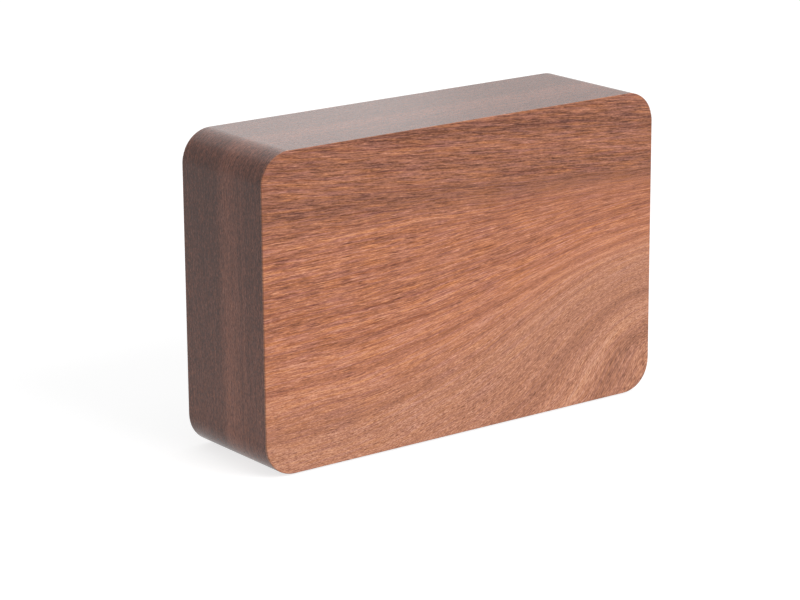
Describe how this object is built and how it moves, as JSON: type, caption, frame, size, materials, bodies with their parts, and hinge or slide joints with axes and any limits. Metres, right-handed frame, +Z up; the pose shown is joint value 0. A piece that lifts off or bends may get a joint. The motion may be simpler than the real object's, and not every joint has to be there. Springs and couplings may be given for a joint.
{
  "type": "desk clock",
  "caption": "Rounded walnut-veneered block clock with a display hidden behind its plain front, and buttons, power socket, sounder slots and battery door on the recessed back.",
  "frame": {"origin": "on the surface that the clock stands on, under the middle of the case", "axes": "+X along the width, to the right as seen from the front; the front faces -Y; +Z up"},
  "size_m": [0.15, 0.042, 0.099],
  "materials": {
    "front_walnut": "satin lacquered walnut veneer",
    "side_walnut": "satin lacquered walnut veneer",
    "rear_walnut": "satin lacquered walnut veneer",
    "fibreboard": "sanded medium-density fibreboard",
    "block_wood": "sawn softwood",
    "foot_rubber": "matt",
    "diffuser": "translucent white",
    "mask_plastic": "matt black",
    "display_laminate": "white solder mask",
    "main_laminate": "green solder mask",
    "lamp_body": "clear resin",
    "chip_epoxy": "matt black epoxy",
    "connector_plastic": "natural nylon",
    "ribbon_sheath": "grey vinyl",
    "crystal_can": "tinned",
    "capacitor_can": "bright",
    "sounder_plastic": "black",
    "microphone_can": "satin",
    "boot_rubber": "matt",
    "socket_plastic": "black",
    "socket_pin": "nickel plated",
    "cover_plastic": "fine spark texture",
    "door_plastic": "fine spark texture",
    "button_plastic": "satin",
    "switch_housing": "black",
    "plunger_plastic": "brown-red",
    "black_screw": "black zinc",
    "screw_steel": "zinc plated",
    "cell_sleeve": "plain printed film",
    "spring_steel": "nickel plated",
    "contact_steel": "nickel plated",
    "red_sheath": "vinyl",
    "black_sheath": "vinyl"
  },
  "bodies": {
    "case": {"front_veneer": "front_walnut", "side_veneer": "side_walnut", "rear_veneer": "rear_walnut", "top_board": "fibreboard", "bottom_board": "fibreboard", "left_board": "fibreboard", "right_board": "fibreboard", "front_board": "fibreboard", "diffuser_plate": "diffuser", "digit_mask": "mask_plastic", "mask_screws": "screw_steel", "display_board": "display_laminate", "display_leds": "lamp_body", "display_board_screws": "screw_steel", "display_driver": "chip_epoxy", "display_header": "connector_plastic", "display_ribbon": "ribbon_sheath", "main_board": "main_laminate", "main_board_screws": "screw_steel", "main_header": "connector_plastic", "controller_chip": "chip_epoxy", "clock_crystal": "crystal_can", "smoothing_capacitors": "capacitor_can", "voltage_regulator": "chip_epoxy", "alarm_sounder": "sounder_plastic", "microphone": "microphone_can", "microphone_boot": "boot_rubber", "power_socket": "socket_plastic", "power_socket_pin": "socket_pin", "back_cover": "cover_plastic", "cover_screws": "black_screw", "battery_springs": "spring_steel", "battery_contacts": "contact_steel", "battery_lead_red": "red_sheath", "battery_lead_black": "black_sheath", "battery_plug": "connector_plastic", "corner_block_top_left": "block_wood", "corner_block_top_right": "block_wood", "corner_block_bottom_left": "block_wood", "corner_block_bottom_right": "block_wood", "foot_front_left": "foot_rubber", "foot_front_right": "foot_rubber", "foot_rear_left": "foot_rubber", "foot_rear_right": "foot_rubber", "switch_mode": "switch_housing", "switch_set": "switch_housing", "switch_up": "switch_housing", "switch_down": "switch_housing", "battery_cell_1": "cell_sleeve", "battery_cell_2": "cell_sleeve", "battery_cell_3": "cell_sleeve"},
    "battery_door": {"battery_door": "door_plastic"},
    "mode_button": {"button_mode": "button_plastic", "plunger_mode": "plunger_plastic"},
    "set_button": {"button_set": "button_plastic", "plunger_set": "plunger_plastic"},
    "up_button": {"button_up": "button_plastic", "plunger_up": "plunger_plastic"},
    "down_button": {"button_down": "button_plastic", "plunger_down": "plunger_plastic"}
  },
  "joints": [
    {"name": "battery_door_tilt", "type": "hinge", "parent": "case", "child": "battery_door", "pos_m": [0, 0.02, 0.01005], "axis": [-1, 0, 0], "range_deg": [0, 45]},
    {"name": "mode_press", "type": "slide", "parent": "case", "child": "mode_button", "axis": [0, -1, 0], "range_m": [0, 0.0005], "stiffness_N_per_m": 2000, "springref_m": -0.0003},
    {"name": "set_press", "type": "slide", "parent": "case", "child": "set_button", "axis": [0, -1, 0], "range_m": [0, 0.0005], "stiffness_N_per_m": 2000, "springref_m": -0.0003},
    {"name": "up_press", "type": "slide", "parent": "case", "child": "up_button", "axis": [0, -1, 0], "range_m": [0, 0.0005], "stiffness_N_per_m": 2000, "springref_m": -0.0003},
    {"name": "down_press", "type": "slide", "parent": "case", "child": "down_button", "axis": [0, -1, 0], "range_m": [0, 0.0005], "stiffness_N_per_m": 2000, "springref_m": -0.0003}
  ]
}
